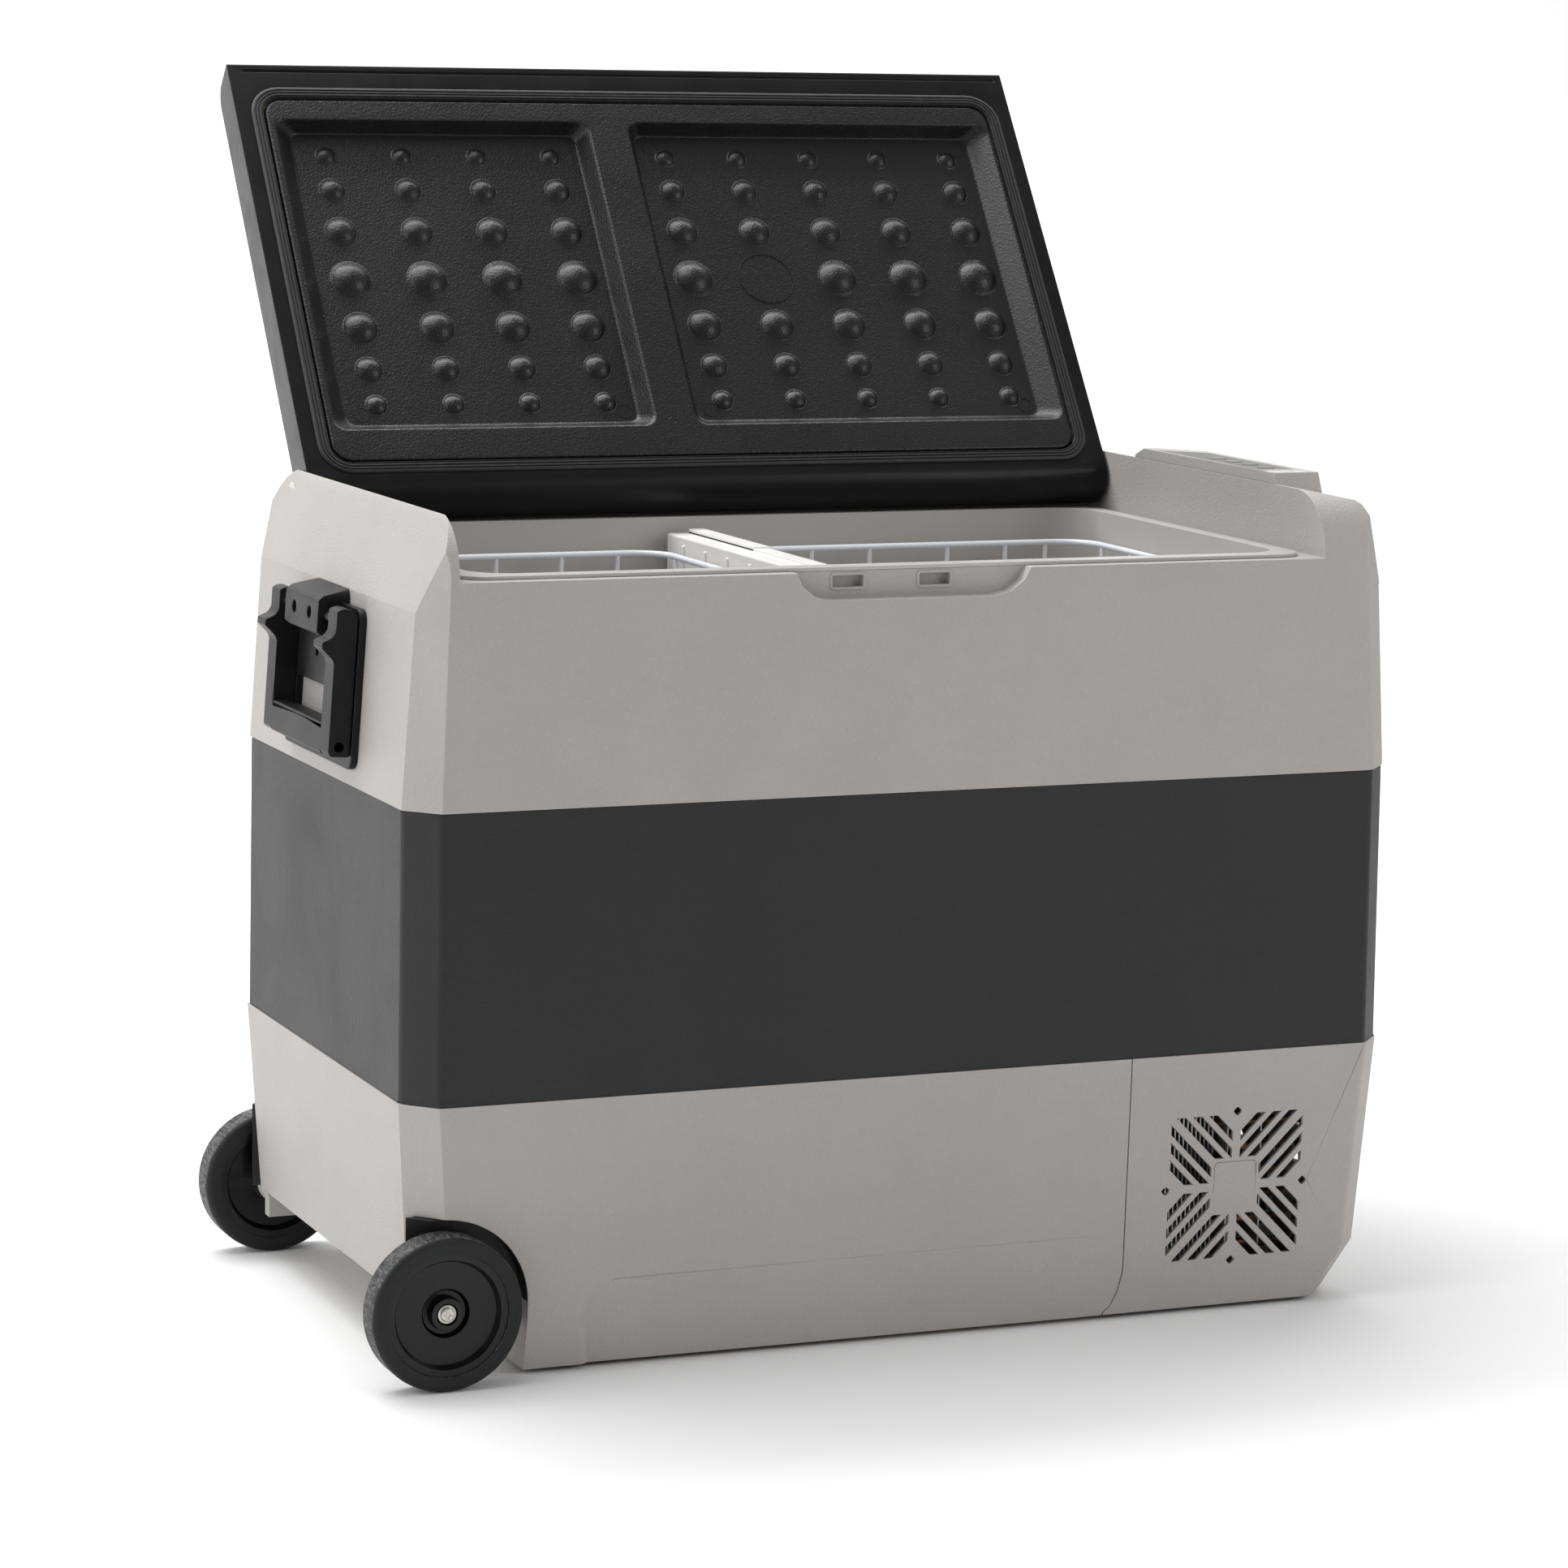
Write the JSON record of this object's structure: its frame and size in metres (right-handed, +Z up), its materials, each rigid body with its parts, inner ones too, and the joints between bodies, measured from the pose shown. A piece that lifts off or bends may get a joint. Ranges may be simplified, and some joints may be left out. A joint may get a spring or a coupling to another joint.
{
  "type": "compressor cooler fridge",
  "caption": "Wheeled compressor cooler box with a tilting lid, lift-out baskets, side carry handles, corner vent grille and top control console.",
  "frame": {"origin": "centre of the footprint on the ground plane that the feet and wheels stand on", "axes": "+X right along the front, +Y to the back (hinge side), +Z up"},
  "size_m": [0.7076, 0.5441, 0.7766],
  "materials": {
    "shell_grey": "fine leather-grain texture, matte",
    "band_charcoal": "fine texture, matte",
    "liner_grey": "smooth satin",
    "lid_black": "satin, fine texture",
    "lid_panel_black": "pebble texture, semi-gloss",
    "gasket_rubber": "matte",
    "handle_black": "satin moulded",
    "wheel_black": "satin moulded",
    "tyre_rubber": "matte, slightly scuffed",
    "steel_zinc": "zinc plated",
    "white_coat": "plastic-coated wire",
    "divider_white": "smooth",
    "foam": "rigid polyurethane foam",
    "aluminium_plain": "mill finish",
    "copper": "drawn copper tube",
    "compressor_black": "gloss black",
    "tray_black": "powder coated",
    "fan_black": "moulded",
    "board_green": "solder mask",
    "panel_grey": "smooth membrane overlay",
    "display_black": "smoked window",
    "button_grey": "smooth key",
    "bush_nylon": "natural nylon",
    "bracket_grey": "moulded",
    "foot_rubber": "matte",
    "socket_black": "moulded"
  },
  "bodies": {
    "cabinet": {"upper_shell": "shell_grey", "mid_band": "band_charcoal", "lower_shell": "shell_grey", "compressor_cover": "shell_grey", "base_tray": "tray_black", "rubber_feet": "foot_rubber", "inner_liner": "liner_grey", "foam_insulation": "foam", "evaporator_plate": "aluminium_plain", "compressor": "compressor_black", "compressor_mounts": "foot_rubber", "compressor_mount_bolts": "steel_zinc", "condenser_tubes": "copper", "condenser_fins": "aluminium_plain", "fan_frame": "fan_black", "filter_dryer": "copper", "refrigerant_lines": "copper", "compressor_controller": "aluminium_plain", "front_wheel_screw": "steel_zinc", "front_axle_bracket": "bracket_grey", "rear_wheel_screw": "steel_zinc", "rear_axle_bracket": "bracket_grey", "left_handle_base": "handle_black", "right_handle_base": "handle_black", "handle_pins": "steel_zinc", "handle_screws": "steel_zinc", "hinge_bushes": "bush_nylon", "lid_bumpers": "foot_rubber", "console_housing": "shell_grey", "control_panel": "panel_grey", "display_window": "display_black", "control_board": "board_green", "socket_plate": "socket_black", "dc_socket": "socket_black", "mains_inlet": "socket_black"},
    "lid": {"lid_outer_shell": "lid_black", "lid_inner_panel": "lid_panel_black", "lid_foam": "foam", "lid_gasket": "gasket_rubber", "hinge_pins": "steel_zinc", "latch_bracket": "lid_black", "latch_pin": "steel_zinc"},
    "latch": {"latch_flap": "lid_black"},
    "front_wheel": {"front_wheel_tyre": "tyre_rubber", "front_wheel_hub": "wheel_black"},
    "rear_wheel": {"rear_wheel_tyre": "tyre_rubber", "rear_wheel_hub": "wheel_black"},
    "left_handle": {"left_handle_bail": "handle_black"},
    "right_handle": {"right_handle_bail": "handle_black"},
    "fan": {"fan_rotor": "fan_black"},
    "divider": {"divider": "divider_white"},
    "left_basket": {"left_basket": "white_coat"},
    "right_basket": {"right_basket": "white_coat"},
    "power_button": {"power_button": "button_grey"},
    "mode_button": {"mode_button": "button_grey"},
    "up_button": {"up_button": "button_grey"},
    "down_button": {"down_button": "button_grey"}
  },
  "joints": [
    {"name": "lid_hinge", "type": "hinge", "parent": "cabinet", "child": "lid", "pos_m": [0, 0.1424, 0.5066], "axis": [-1, 0, 0], "range_deg": [-125.8, 0]},
    {"name": "latch_hinge", "type": "hinge", "parent": "lid", "child": "latch", "pos_m": [0, 0.32651, 0.77316], "axis": [1, 0, 0], "range_deg": [0, 178]},
    {"name": "front_wheel_spin", "type": "hinge", "parent": "cabinet", "child": "front_wheel", "pos_m": [-0.309, -0.1785, 0.0475], "axis": [0, 1, 0], "continuous": true},
    {"name": "rear_wheel_spin", "type": "hinge", "parent": "cabinet", "child": "rear_wheel", "pos_m": [-0.309, 0.1785, 0.0475], "axis": [0, 1, 0], "continuous": true},
    {"name": "left_handle_swing", "type": "hinge", "parent": "cabinet", "child": "left_handle", "pos_m": [-0.33662, 0, 0.44867], "axis": [0, 1, 0], "range_deg": [0, 95]},
    {"name": "right_handle_swing", "type": "hinge", "parent": "cabinet", "child": "right_handle", "pos_m": [0.33662, 0, 0.44867], "axis": [0, -1, 0], "range_deg": [0, 95]},
    {"name": "fan_spin", "type": "hinge", "parent": "cabinet", "child": "fan", "pos_m": [0.232, -0.112, 0.084], "axis": [0, 1, 0], "continuous": true},
    {"name": "divider_lift", "type": "slide", "parent": "cabinet", "child": "divider", "axis": [0, 0, 1], "range_m": [0, 0.44]},
    {"name": "left_basket_lift", "type": "slide", "parent": "cabinet", "child": "left_basket", "axis": [0, 0, 1], "range_m": [0, 0.44]},
    {"name": "right_basket_lift", "type": "slide", "parent": "cabinet", "child": "right_basket", "axis": [0, 0, 1], "range_m": [0, 0.44]},
    {"name": "power_button_press", "type": "slide", "parent": "cabinet", "child": "power_button", "axis": [0, 0, -1], "range_m": [0, 0.0008], "stiffness_N_per_m": 400},
    {"name": "mode_button_press", "type": "slide", "parent": "cabinet", "child": "mode_button", "axis": [0, 0, -1], "range_m": [0, 0.0008], "stiffness_N_per_m": 400},
    {"name": "up_button_press", "type": "slide", "parent": "cabinet", "child": "up_button", "axis": [0, 0, -1], "range_m": [0, 0.0008], "stiffness_N_per_m": 400},
    {"name": "down_button_press", "type": "slide", "parent": "cabinet", "child": "down_button", "axis": [0, 0, -1], "range_m": [0, 0.0008], "stiffness_N_per_m": 400}
  ]
}
